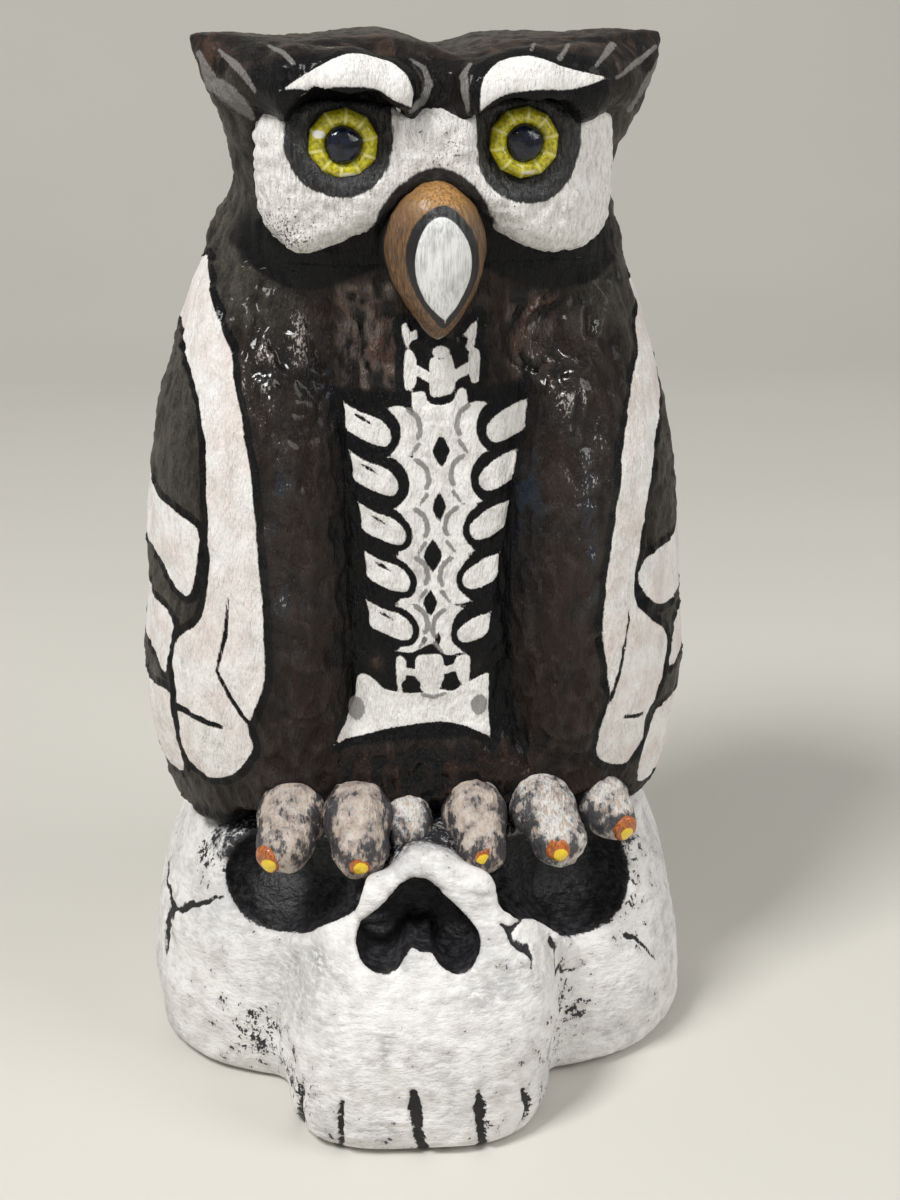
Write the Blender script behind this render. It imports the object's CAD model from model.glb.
import math

import bpy
import numpy as np
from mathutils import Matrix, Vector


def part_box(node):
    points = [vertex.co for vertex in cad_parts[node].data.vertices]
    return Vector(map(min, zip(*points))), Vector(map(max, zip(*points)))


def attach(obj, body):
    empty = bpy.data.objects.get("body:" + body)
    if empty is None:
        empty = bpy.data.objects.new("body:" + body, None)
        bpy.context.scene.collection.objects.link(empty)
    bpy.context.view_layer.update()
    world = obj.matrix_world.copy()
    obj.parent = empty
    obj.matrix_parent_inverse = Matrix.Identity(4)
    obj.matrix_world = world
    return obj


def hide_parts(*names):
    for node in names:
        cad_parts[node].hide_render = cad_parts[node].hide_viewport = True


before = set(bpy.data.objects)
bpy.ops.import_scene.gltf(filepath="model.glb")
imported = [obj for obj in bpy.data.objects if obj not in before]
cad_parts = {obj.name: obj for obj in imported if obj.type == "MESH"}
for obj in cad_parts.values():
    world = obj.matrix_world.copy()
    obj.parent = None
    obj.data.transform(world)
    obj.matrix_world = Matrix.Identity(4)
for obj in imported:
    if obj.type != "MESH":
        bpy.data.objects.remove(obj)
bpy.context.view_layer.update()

import openvdb
from mathutils import Matrix, Vector

# Lengths are in millimetres up to the point where a mesh is made
mm = 0.001
cell = 0.85  # size of a sculpting cell
sharpFrom = math.radians(62)  # bends sharper than this are not shaded smooth
reachOfPaint = 5.0  # paint distances are worked out no further than this
unpainted = -reachOfPaint
ovalSlack = 0.97  # the radial distance to an oval overstates the true one


def centreOf(node):
    low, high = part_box(node)
    return (low + high) / (2 * mm)


# The dowels under the paint say where the owl stands and how far it is turned
owlAxis = centreOf("neck_dowel")
acrossFeet = centreOf("perch_dowel_left") - centreOf("perch_dowel_right")
owlTurn = math.atan2(acrossFeet.y, acrossFeet.x)
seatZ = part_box("owl_body")[0].z / mm
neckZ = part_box("owl_body")[1].z / mm
skullPlace = Matrix.Scale(mm, 4)
standing = Matrix.Translation((owlAxis.x * mm, owlAxis.y * mm, 0))
owlPlace = standing @ Matrix.Rotation(owlTurn, 4, "Z") @ Matrix.Scale(mm, 4)


# Forms are signed distances: negative inside, positive outside

def ease(t):
    t = np.clip(t, 0, 1)
    return t * t * (3 - 2 * t)


def mixed(a, b, t):
    return a + (b - a) * t


def join(a, b, k=4.0):  # union with a rounded valley
    h = np.clip(0.5 + 0.5 * (b - a) / k, 0, 1)
    return b + (a - b) * h - k * h * (1 - h)


def keepBoth(a, b, k=2.0):  # intersection with a rounded edge
    return -join(-a, -b, k)


def cutAway(a, b, k=2.0):
    return keepBoth(a, -b, k)


def curveThrough(knots):  # a smooth function of one value through hand-set knots
    at, value = np.array(knots, float).T
    slope = np.gradient(value, at)

    def curve(t):
        t = np.clip(t, at[0], at[-1])
        i = np.clip(np.searchsorted(at, t) - 1, 0, len(at) - 2)
        h = at[i + 1] - at[i]
        s = (t - at[i]) / h
        return ((2 * s**3 - 3 * s**2 + 1) * value[i] + (s**3 - 2 * s**2 + s) * h * slope[i]
                + (3 * s**2 - 2 * s**3) * value[i + 1] + (s**3 - s**2) * h * slope[i + 1])
    return curve


def ovalRing(x, y, half, front, back, power):  # radial distance to a superellipse whose front is at -y
    r = np.sqrt(x * x + y * y) + 1e-4
    share = (np.abs(x / half) ** power + np.abs(y / np.where(y < 0, front, back)) ** power) ** (1 / power)
    return r * (1 - 1 / np.maximum(share, 1e-3))


def ovalOf(shape, x, y, z, half=None):  # the oval that a piece's dictionary gives at each height
    half = shape["half"](z) if half is None else half
    return ovalRing(x, y, half, shape["front"](z), shape["back"](z), shape["power"]) * ovalSlack


def rod(x, y, z, a, b, ra, rb):  # a capsule that tapers from a to b
    ax, ay, az = (float(v) for v in a)
    bx, by, bz = (b[0] - ax, b[1] - ay, b[2] - az)
    px, py, pz = x - ax, y - ay, z - az
    t = np.clip((px * bx + py * by + pz * bz) / (bx * bx + by * by + bz * bz), 0, 1)
    return np.sqrt((px - bx * t) ** 2 + (py - by * t) ** 2 + (pz - bz * t) ** 2) - mixed(ra, rb, t)


def rodChain(x, y, z, stations, k=3.0):  # stations are (x, y, z, radius)
    form = None
    for a, b in zip(stations, stations[1:]):
        one = rod(x, y, z, a[:3], b[:3], a[3], b[3])
        form = one if form is None else join(form, one, k)
    return form


def egg(x, y, z, centre, radii):
    u, v, w = ((p - c) / r for p, c, r in zip((x, y, z), centre, radii))
    q = np.sqrt(u * u + v * v + w * w) + 1e-5
    return (q - 1) * q / np.sqrt((u / radii[0]) ** 2 + (v / radii[1]) ** 2 + (w / radii[2]) ** 2 + 1e-9)


def rounded(points, perSpan=6, closed=True):  # a Catmull-Rom line through a few points
    p = np.array(points, float)
    n = len(p)
    spans = n if closed else n - 1
    out = []
    for i in range(spans):
        a, b, c, d = (p[(i + j) % n] if closed else p[min(max(i + j, 0), n - 1)] for j in (-1, 0, 1, 2))
        for s in np.arange(perSpan) / perSpan:
            at = 2 * b + (c - a) * s + (2 * a - 5 * b + 4 * c - d) * s**2
            out.append(0.5 * (at + (3 * b - a - 3 * c + d) * s**3))
    if not closed:
        out.append(p[-1])
    return np.array(out)


def cornered(*points):  # a closed line through the points, sharp where a point is given twice
    return rounded(points, 5)


def toOutline(u, v, outline):  # signed distance in a plane: positive inside the closed outline
    best = np.full(np.broadcast(u, v).shape, 1e9)
    within = np.zeros(best.shape, bool)
    for (ax, ay), (bx, by) in zip(outline, np.roll(outline, -1, 0)):
        dx, dy = bx - ax, by - ay
        t = np.clip(((u - ax) * dx + (v - ay) * dy) / (dx * dx + dy * dy + 1e-12), 0, 1)
        best = np.minimum(best, (u - ax - dx * t) ** 2 + (v - ay - dy * t) ** 2)
        within ^= ((ay > v) != (by > v)) & (u < (bx - ax) * (v - ay) / (by - ay + 1e-12) + ax)
    return np.where(within, 1, -1) * np.sqrt(best)


# Positive within half of an open line; half may be one number or one for each point
def toLine(u, v, line, half):
    best = np.full(np.broadcast(u, v).shape, -1e9)
    line = np.array(line, float)
    widths = np.broadcast_to(np.asarray(half, float), len(line))
    for (ax, ay), (bx, by), ha, hb in zip(line, line[1:], widths, widths[1:]):
        dx, dy = bx - ax, by - ay
        t = np.clip(((u - ax) * dx + (v - ay) * dy) / (dx * dx + dy * dy + 1e-12), 0, 1)
        best = np.maximum(best, mixed(ha, hb, t) - np.hypot(u - ax - dx * t, v - ay - dy * t))
    return best


# The same as toOutline for listed points, worked out only near the outline
def inside(u, v, outline, reach=reachOfPaint):
    low, high = outline.min(0) - reach, outline.max(0) + reach
    near = (u > low[0]) & (u < high[0]) & (v > low[1]) & (v < high[1])
    out = np.full(len(u), -reach)
    out[near] = np.maximum(toOutline(u[near], v[near], outline), -reach)
    return out


def along(u, v, line, half, reach=reachOfPaint):
    line = np.array(line, float)
    low, high = line.min(0) - reach, line.max(0) + reach
    near = (u > low[0]) & (u < high[0]) & (v > low[1]) & (v < high[1])
    out = np.full(len(u), -reach)
    out[near] = np.maximum(toLine(u[near], v[near], line, half), -reach)
    return out


def spot(u, v, cu, cv, ru, rv):  # about the distance inside an oval spot
    return (1 - np.hypot((u - cu) / ru, (v - cv) / rv)) * min(ru, rv)


def cloud(u, v, cu, cv, ru, rv):  # 1 in the middle, fading to 0
    return np.exp(-((u - cu) / ru) ** 2 - ((v - cv) / rv) ** 2)


def clouds(u, v, *rows):  # a sum of clouds; each row is a weight, then a cloud's middle and radii
    return sum(row[0] * cloud(u, v, *row[1:]) for row in rows)


def lattice(i, j, k, seed):
    n = (i * 374761393 + j * 668265263 + k * 1442695041 + seed * 974634777) & 0xFFFFFFFF
    n = ((n ^ (n >> 13)) * 1274126177) & 0xFFFFFFFF
    return ((n ^ (n >> 16)) & 0xFFFF) / 32767.5 - 1


def grain(p, size, seed=0):  # smooth value noise from -1 to 1; size is one length or three
    q = p / np.asarray(size, float)
    base = np.floor(q).astype(np.int64)
    f = q - base
    f = f * f * f * (f * (f * 6 - 15) + 10)
    total = 0
    for dx in (0, 1):
        for dy in (0, 1):
            for dz in (0, 1):
                w = np.abs(1 - dx - f[:, 0]) * np.abs(1 - dy - f[:, 1]) * np.abs(1 - dz - f[:, 2])
                total = total + w * lattice(base[:, 0] + dx, base[:, 1] + dy, base[:, 2] + dz, seed)
    return total


def relax(points, quads):  # evens out the cells' stair steps
    total = np.zeros_like(points)
    count = np.zeros(len(points))
    for k in range(4):
        for axis in range(3):
            total[:, axis] += np.bincount(quads[:, k], points[quads[:, (k + 1) % 4], axis], len(points))
            total[:, axis] += np.bincount(quads[:, k], points[quads[:, k - 1], axis], len(points))
        count += 2 * np.bincount(quads[:, k], minlength=len(points))
    return mixed(points, total / count[:, None], 0.5)


def sculpt(field, low, high, fine=1.0):  # points and quads of the surface where field is 0
    size = cell * fine
    axes = [np.arange(a - 3 * size, b + 3 * size, size, dtype=np.float32) for a, b in zip(low, high)]
    x, y, z = np.meshgrid(*axes, indexing="ij", sparse=True)
    values = np.broadcast_to(field(x, y, z), tuple(len(a) for a in axes)).astype(np.float32)
    band = 3 * size
    vdb = openvdb.FloatGrid(band)
    vdb.copyFromArray(np.clip(values, -band, band))
    points, quads = vdb.convertToQuads()
    quads = quads.astype(int)
    return relax(points.astype(float) * size + [float(a[0]) for a in axes], quads), quads


def normalsOf(points, quads):
    across = np.cross(points[quads[:, 2]] - points[quads[:, 0]],
            points[quads[:, 3]] - points[quads[:, 1]])
    out = np.zeros_like(points)
    for k in range(4):
        for axis in range(3):
            out[:, axis] += np.bincount(quads[:, k], across[:, axis], len(points))
    return out / (np.linalg.norm(out, axis=1, keepdims=True) + 1e-9)


def outward(field, p, step=0.3):  # the way a form faces at listed points, whatever piece they are on
    steps = [field(*(p + np.eye(3)[k] * step).T) - field(*(p - np.eye(3)[k] * step).T) for k in range(3)]
    slope = np.stack(steps, 1)
    return slope / (np.linalg.norm(slope, axis=1, keepdims=True) + 1e-9)


def placed(name, data):
    thing = bpy.data.objects.new(name, data)
    bpy.context.collection.objects.link(thing)
    return thing


def smoothMesh(name, points, faces):
    mesh = bpy.data.meshes.new(name)
    mesh.from_pydata(points, [], faces)
    mesh.polygons.foreach_set("use_smooth", np.ones(len(mesh.polygons), bool))
    return mesh


def meshPiece(name, points, faces, place, material, nodes, marks=None, body="root"):
    mesh = smoothMesh(name, points.tolist(), faces.tolist() if hasattr(faces, "tolist") else faces)
    for mark, values in (marks or {}).items():
        layer = mesh.attributes.new(mark, "FLOAT", "POINT")
        layer.data.foreach_set("value", np.asarray(values, np.float32))
    mesh.transform(place)
    mesh.validate()
    mesh.set_sharp_from_angle(angle=sharpFrom)
    mesh.materials.append(material)
    piece = placed(name, mesh)
    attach(piece, body)
    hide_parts(*nodes)
    return piece


# The owl's torso with its folded wings, in the owl's frame
torso = {
    "half": curveThrough([
        (62, 68.5), (72, 71), (83, 74), (95, 76.6), (107, 77.3), (122, 76.8), (145, 75), (160, 74),
        (175, 72), (189, 68.7), (203, 64.6), (217, 59.6), (228, 55.4), (240, 51.5), (250, 50)]),
    "front": curveThrough([
        (62, 46), (84, 50.5), (105, 54), (140, 55), (175, 53.5), (195, 51), (212, 47.5), (228, 44),
        (250, 43)]),
    "back": curveThrough([(62, 43), (90, 47), (130, 48.5), (175, 46.5), (205, 43), (228, 40), (250, 40)]),
    "groove": curveThrough([
        (70, 30), (90, 27), (104, 23.5), (125, 22), (160, 22.5), (185, 23.5), (198, 26), (210, 30),
        (222, 34.5), (234, 40)]),
    "recess": curveThrough([
        (70, 1), (86, 2.5), (96, 6), (106, 10), (125, 11.5), (165, 11.5), (190, 11), (205, 9.5),
        (220, 8), (232, 7), (240, 3)]),
    "bellyLow": 78.5,
    "wingTop": 226.0,
    "wingThick": 9.0,
    "backEdge": 13.0,  # half the gap between the wings' back edges
    "cap": 240.0,  # the torso ends here, inside the head
    "power": 2.4,  # 2 is an ellipse; more is squarer
}


def grooveShare(x, z):  # 0 in the middle of the chest, 1 in the groove beside a wing
    return np.abs(x) / np.where(x > 0, torso["groove"](z) - 1.5, torso["groove"](z) + 0.5)


def torsoForm(x, y, z):
    form = ovalOf(torso, x, y, z)
    t = grooveShare(x, z)
    rise = np.clip((t - 1) / 0.66, 0, 1)
    hollow = np.where(t < 1, 0.86 + 0.2 * t**5, 1.06 * (1 - rise) ** 1.6)
    front = ease((10 - y) / 30)
    form = form + torso["recess"](z) * hollow * front
    overToes = 11 * ease((torso["bellyLow"] + 2 - z) / 5) * (1 - ease((np.abs(x) - 46) / 14))
    form = keepBoth(form + overToes * ease((-8 - y) / 20), seatZ + 0.3 - z, 3)
    return keepBoth(form, z - torso["cap"], 12)


def headForm(x, y, z):
    half = mixed(headShape["half"](z), headShape["flare"](z), ease((12 - y) / 30))
    half = half + 6 * ease((z - 269) / 13) ** 1.6 * np.exp(-((y + 21) / 7) ** 2)
    half = half - np.where(x < 0, 4, 0)
    form = ovalOf(headShape, x, y, z, half)
    top = headShape["crown"] + 1.2 * np.exp(-((x + 12) / 12) ** 2) - 3 * np.exp(-((x - 8) / 8) ** 2)
    edge = 7 - 5.5 * ease((np.abs(x) - 38) / 14)
    return keepBoth(form, z - top - 1.6 * ease((np.abs(x) - 34) / 20),
            mixed(edge, 20, ease((y + 8) / 36)))


headShape = {
    "half": curveThrough([
        (215, 50), (225, 52), (233, 51.8), (240, 50.4), (250, 49.6), (262, 50.2), (272, 50), (282, 49)]),
    "front": curveThrough([(215, 38), (225, 41), (234, 43), (245, 45), (262, 45.5), (282, 43)]),
    "back": curveThrough([(215, 40), (235, 41.5), (262, 42), (282, 39)]),
    "flare": curveThrough([
        (215, 52), (231, 53.2), (238, 51.6), (245, 51.3), (252, 52.6), (259, 54.6), (266, 56.4),
        (273, 57.6), (282, 58.6)]),
    "crown": 281.4,
    "browTop": 281.8,
    "power": 2.8,
    # brow stations: distance from the middle, y, z, radius
    "brow": [
        (8.5, -45.5, 266.5, 4.6), (12, -48, 270, 7.2), (23, -48.5, 271.5, 8.4), (35, -44, 271.5, 8.2),
        (46, -34, 272.5, 6.6), (55.5, -25, 277.5, 3.6), (59.4, -22, 281.4, 0.6)],
    "horn": [(46, -25, 262, 7), (51, -24, 271, 6), (56, -22, 278, 3), (59.6, -22, 281.2, 0.6)],
}


def browForm(x, y, z):
    u = np.where(x < 0, -x * 1.075, x)
    brow = rodChain(u, y, z, headShape["brow"], 4)
    horn = rodChain(u, y, z, headShape["horn"], 4)
    return keepBoth(join(brow, horn, 5), z - headShape["browTop"], 2)


def owlSkin(x, y, z):  # everything dark in one flowing skin
    form = join(torsoForm(x, y, z), headForm(x, y, z), 7)
    form = join(form, browForm(x, y, z), 4)
    for eye in eyes.values():
        form = cutAway(form, egg(x, y, z, (eye["x"], -50, eye["z"]), (14.6, 9, 14)), 2.5)
    return form


eyes = {
    "right": {"x": -21.8, "z": 260.6, "calm": 0},  # calm hides the white glare
    "left": {"x": 21.9, "z": 257.8, "calm": 3},
}

discShape = {
    "outline": rounded([
        (-42, 262), (-42.6, 252), (-42, 241), (-38.5, 234.5), (-32.5, 231.3), (-25, 233.6), (-15, 238.5),
        (-7.5, 244.5), (0, 247), (8, 244), (17, 236.5), (25, 232.4), (33.5, 230.5), (42.5, 232),
        (48.3, 238.5), (49, 250), (47.5, 263), (38, 268), (20, 268), (6, 266), (-6, 266), (-20, 268),
        (-36, 268)]),
    "rear": -24.0,
    "proud": curveThrough([(-48, 5.5), (-30, 6.5), (-12, 5), (0, 5), (12, 5), (30, 6.5), (48, 5.5)]),
}


def discForm(x, y, z):
    shape = -toOutline(x, z, discShape["outline"])
    face = ovalOf(headShape, x, y, z)
    form = keepBoth(shape, face - discShape["proud"](x), 5.5)
    form = keepBoth(form, y - discShape["rear"], 3)
    form = keepBoth(form, -(face + 3), 1)
    for eye in eyes.values():
        form = cutAway(form, egg(x, y, z, (eye["x"], -56, eye["z"]), (14.4, 12.5, 14.4)), 2)
    return form


beakShape = {
    "outline": rounded([
        (0, 249.6), (-6, 247), (-11.2, 241), (-13.2, 233.5), (-11, 225), (-6.4, 217.5), (0, 210.6),
        (6.4, 217.5), (11, 225), (12.8, 233.5), (10.8, 241), (6, 247)]),
    "ring": rounded([
        (0.3, 244.4), (-5, 241.4), (-8, 236), (-8.4, 230), (-6.4, 223.4), (-2.8, 218), (1, 214.4),
        (4.6, 218.4), (8, 223.6), (9.8, 230), (8.6, 236.6), (5, 242)]),
    "drop": rounded([
        (0, 241.8), (-4, 239.2), (-6.2, 233), (-6, 227), (-3.4, 221), (1, 216.6), (1, 216.6),
        (4.8, 221.6), (7.2, 227.6), (7, 234), (4.2, 239.4)]),
    "ridge": curveThrough([(208, 53), (214, 57), (224, 59.5), (236, 60), (244, 57.5), (250, 53)]),
}


def beakForm(x, y, z):
    shape = -toOutline(x, z, beakShape["outline"])
    front = -(y + beakShape["ridge"](z) - 0.052 * x * x)
    return keepBoth(keepBoth(shape, front * 0.85, 4.5), y + 38, 1)


toeShape = {  # stations are (x, y, z, radius) in the owl's frame
    "toe_right_outer": [(-36, -34, 79, 8), (-39.5, -46, 79.5, 8.8), (-42.3, -55.5, 75.5, 7.6)],
    "toe_right_middle": [(-21, -36, 80, 8), (-22, -50, 80, 9), (-22.6, -59.5, 75, 7.8)],
    "toe_right_inner": [(-8, -38, 78, 6), (-8.4, -49, 77.5, 6.3), (-8.6, -53, 75.5, 5.6)],
    "toe_left_inner": [(9.5, -36, 79, 7.6), (10, -50, 79, 8.3), (10.2, -60.5, 73.5, 7)],
    "toe_left_middle": [(27, -36, 79, 8), (29.4, -50, 79, 8.4), (32, -59.5, 73.5, 7.2)],
    "toe_left_outer": [(44, -32, 76, 7.2), (48.5, -42, 75, 7.2), (50.5, -46, 72.5, 6.2)],
}

skull = {
    "half": curveThrough([
        (0, 78.5), (10, 79), (20, 79), (32, 77.5), (45, 74), (56, 69.5), (66, 64.5), (72, 61)]),
    "front": curveThrough([(0, 61), (12, 62), (24, 61.5), (38, 59), (50, 57), (62, 55), (72, 51)]),
    "back": curveThrough([(0, 72), (14, 76), (30, 76), (48, 72), (62, 65), (72, 58)]),
    "muzzleHalf": curveThrough([
        (-2, 34.4), (4, 36.4), (16, 37.2), (30, 37), (42, 35), (52, 31), (61, 23), (69, 13), (76, 6)]),
    "muzzleFront": curveThrough([
        (-2, 82), (5, 85), (18, 85.2), (32, 83), (44, 78), (56, 71.5), (65, 65.5), (72, 61.5),
        (78, 58)]),
    "sockets": [
        (((-41.5, -43, 60.5), (17, 19, 13.6)), ((-27, -50, 65.5), (12, 17, 9))),
        (((43.5, -41, 58.4), (18.4, 20, 17.2)), ((27, -50, 64.5), (12, 17, 9.5)))],
    "ridge": [
        [(-1.5, -56, 71.5, 5), (-14.6, -59.5, 65.4, 4.4), (-25.6, -57.5, 55.5, 4.4), (-33, -50, 48.5, 4)],
        [(-1.5, -56, 71.5, 5), (11, -59.5, 65.5, 4.6), (22, -57.5, 57, 4.8), (33, -53, 49.5, 4.4)]],
    "power": 2.9,
    "muzzlePower": 3.3,
    "muzzleRear": 40,  # the middle of the muzzle's oval is this far before the frame's origin
    "seam": -47.0,  # y where the jaw piece meets the cranium
    # cracks and teeth: the line's points across and up, then half its width at each
    "cracks": [
        ([(-56, 53.6), (-61, 50.4), (-66, 46.8), (-71, 41.4)], [0.2, 0.6, 0.6, 0.6]),
        ([(-74, 45.4), (-71, 42), (-73.5, 36), (-75, 26)], [0.5, 0.9, 0.7, 0.1]),
        ([(17.8, 58.8), (20.4, 57.2), (24.8, 58)], [0.1, 1, 0.1]),
        ([(20.4, 57.4), (21, 54), (24.6, 52.2), (25.4, 49.6), (26.6, 46.8)], [0.7, 0.5, 0.7, 0.5, 0.1]),
        ([(33, 49), (34.6, 45), (33.8, 40), (34.8, 36)], [0.8, 0.5, 0.6, 0.1]),
        ([(34.4, 38.6), (37.4, 34.4), (40.4, 33), (44.4, 33.4)], [0.5, 0.4, 0.5, 0.1]),
        ([(54, 41), (59, 37.6)], [0.1, 0.5]),
        ([(57, 38.8), (60, 36.4), (64, 31), (69, 24)], [0.9, 0.4, 0.4, 0.1])],
    "teeth": [
        ([(-35, 18), (-35.8, 11), (-36.4, -2)], [0.2, 0.8, 1]),
        ([(-24.8, 17), (-25.4, 12), (-25, 8), (-25.8, -2)], [0.3, 0.9, 0.6, 1.2]),
        ([(-6.2, 21), (-5.8, 16), (-4.6, 8), (-2.8, -2)], [0.8, 2, 1.3, 1.5]),
        ([(11, 19.5), (11.4, 14), (12.2, 6), (11.4, -2)], [0.6, 1.7, 1.1, 1.6]),
        ([(24.2, 16), (25, 10), (24.2, 3)], [0.3, 0.9, 0.2])],
    "nose": [
        ((-3, 67.8), (-13.4, 55.8), 4.2, 6.8),
        ((-1, 67), (6.6, 55), 4.4, 6),
        ((-2, 63), (-2, 59.4), 5, 5)],
}


def craniumForm(x, y, z):
    form = ovalOf(skull, x, y - owlAxis.y, z)
    form = keepBoth(form, z - seatZ, 5)
    return keepBoth(form, 0.2 - z, 7)


def muzzleForm(x, y, z):
    aside = 3.4 * ease((48 - z) / 32)
    form = ovalRing(x + aside, y + skull["muzzleRear"], skull["muzzleHalf"](z),
            skull["muzzleFront"](z) - skull["muzzleRear"], 14, skull["muzzlePower"]) * 0.95
    form = keepBoth(form, z - 75, 4)
    return keepBoth(form, 0.2 - z, 4)


def noseHole(x, y, z):
    hole = None
    for (ax, az), (bx, bz), ra, rb in skull["nose"]:
        one = rod(x, 0 * y, z, (ax, 0, az), (bx, 0, bz), ra, rb)
        hole = one if hole is None else join(hole, one, 1.5)
    return keepBoth(hole, y + 50 - 0.3 * (z - 56), 3)


def wholeSkull(x, y, z):  # before the sockets and the nose are hollowed
    blend = 5 + 8 * ease((z - 18) / 30)
    form = join(craniumForm(x, y, z), muzzleForm(x, y, z), blend)
    for side in skull["ridge"]:
        form = join(form, rodChain(x, y, z, side, 5), 4)
    return form


def skullSkin(x, y, z):
    form = wholeSkull(x, y, z)
    for outer, inner in skull["sockets"]:
        form = cutAway(form, join(egg(x, y, z, *outer), egg(x, y, z, *inner), 9), 3)
    return cutAway(form, noseHole(x, y, z), 1.6)


# Where one piece laps over the next, the lower one is tucked a hair under it
def tuck(skin, cover):
    return skin + 0.14 * ease(1.4 - cover)


def lap(skin, cover):
    return keepBoth(skin, cover - 0.7, 0.3)


def wingCover(x, y, z):  # negative where the wings lie
    beside = np.where(y < 0, (1 - grooveShare(x, z)) * torso["groove"](z), torso["backEdge"] - np.abs(x))
    return np.maximum(beside, z - torso["wingTop"])


# Painted bones on the breast, as seen from the front: x across and z up, in the owl's frame
breast = {
    "ribRight": cornered(
        (0, 0), (0, 0), (4, -2.6), (9.3, -4.8), (12, -8.4), (11.2, -11.6), (8, -11.4), (3, -9),
        (0.8, -7.2), (0.6, -4)),
    "ribsRight": [(-23, 193.5), (-21.5, 180.5), (-19.6, 167), (-18.6, 154), (-18, 140.5)],
    "ribLeft": cornered(
        (0, 0), (0, 0), (-4, -1), (-7.4, -2.8), (-10.6, -5.8), (-10.4, -8.8), (-8, -10.2), (-3, -8.6),
        (-0.8, -6.6), (-0.3, -3)),
    "ribsLeft": [
        (25.2, 192.2, 1.05), (22.6, 179.2, 1), (19.9, 165.6, 0.98), (17.5, 151.4, 0.92),
        (14.9, 135.4, 0.82)],
    "crescent": cornered(
        (-10.4, 6.6), (-10.4, 6.6), (-6.4, 7), (-3, 4.4), (-1, 0), (-3, -4.6), (-6, -6.8), (-10.2, -6.2),
        (-10.2, -6.2), (-7.6, -3.2), (-6.9, 0.6), (-8, 4)),
    "rowsRight": [(-1.6, 185), (0.4, 171.7), (0, 158.6), (0, 145.4), (-0.2, 132)],
    "rowsLeft": [(4.3, 185.6), (2.6, 172.4), (1, 158.8), (-0.4, 145), (-2.4, 130.6)],
    "column": cornered(
        (-5.6, 195.4), (-5.6, 195.4), (-2.2, 195.6), (-1.2, 193), (1.8, 191.9), (5.2, 193), (6.6, 195.8),
        (8.8, 195.6), (9.2, 190), (7.4, 186), (8.4, 180), (6.4, 172), (7.2, 166), (5.4, 158), (6.2, 152),
        (4.6, 144), (5.4, 139), (3.6, 132), (5.6, 125.6), (3.4, 126.6), (1, 127.4), (-2, 127), (-5, 126),
        (-4.4, 132), (-5.4, 139), (-4.2, 146), (-5.6, 152), (-4.2, 159), (-5.4, 165.5), (-3.6, 172),
        (-5.4, 178.6), (-3.4, 186), (-5.2, 190.5)),
    "holes": [
        (2, 180, 2.2, 4.2), (1.3, 165.3, 1.7, 4), (-0.4, 151.8, 2.5, 4.4), (-1.2, 138.7, 1.8, 3.5),
        (-2.9, 128.6, 0.7, 1.1), (0.8, 128.6, 0.8, 1.9)],
    "neck": [
        cornered(
            (-0.8, 203.4), (0.8, 204.4), (2.4, 203.4), (4.6, 204.8), (5.8, 200), (5.4, 195.4), (2, 194),
            (-0.6, 194.6), (-1, 199)),
        cornered(
            (-7.2, 205.4), (-5.4, 206.4), (-4.2, 204), (-4, 200), (-4.6, 197), (-6.4, 196),
            (-7.4, 197.4)),
        cornered(
            (9.6, 205), (10.8, 206.2), (12.3, 205), (12.2, 200), (12, 197.8), (10.6, 197.2), (9.8, 199)),
        cornered(
            (-7.9, 212.4), (-6.6, 213.2), (-5.6, 211), (-4, 211.4), (-3.8, 209.2), (-5.4, 208.4),
            (-6.4, 206.2), (-7.2, 208)),
        cornered(
            (11.9, 214), (11.9, 214), (9.4, 211.4), (8, 209.4), (9.4, 208.8), (8.8, 206.2),
            (10.4, 205.8), (11.4, 209))],
    "neckArms": [[(-4.6, 201.4), (-0.6, 199)], [(5.4, 199), (10, 201.6)]],
    "loin": [
        cornered(
            (-5.2, 123.6), (-2, 124.4), (1.6, 124), (2.4, 121), (2.2, 116), (-0.6, 112), (-3.6, 114),
            (-5.2, 117)),
        cornered((-10.6, 123.4), (-9.2, 124.4), (-7.9, 122.6), (-8.2, 117), (-9.6, 112.6), (-10.4, 117)),
        cornered((5.4, 122.6), (9.4, 123.4), (9.2, 115.4), (7.6, 114.8), (6, 117.6))],
    "loinArms": [[(-8.6, 120), (-4.6, 119.4)], [(2, 119.6), (6.4, 120.2)]],
    "pelvis": cornered(
        (-20.6, 118.4), (-18.4, 119), (-16.2, 117.6), (-13, 114.6), (-6, 113.4), (0, 113.8), (7, 114.8),
        (12.6, 117.4), (14.9, 118), (14.9, 118), (14.6, 109), (15, 99.8), (15, 99.8), (7.4, 103.4),
        (-0.6, 104.8), (-12.4, 103.6), (-27.4, 99.8), (-27.4, 99.8), (-23.4, 107.6), (-21.4, 113)),
    "loinHoles": [(-6.6, 115.8, 2.5, 2), (4.4, 115.4, 2.6, 1.9)],
    "greyPatches": [(-21.2, 109.2, 2.3, 3.4), (12, 109, 2.3, 3)],
    "gap": 1.7,  # black left between a rib and the spine
}


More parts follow.
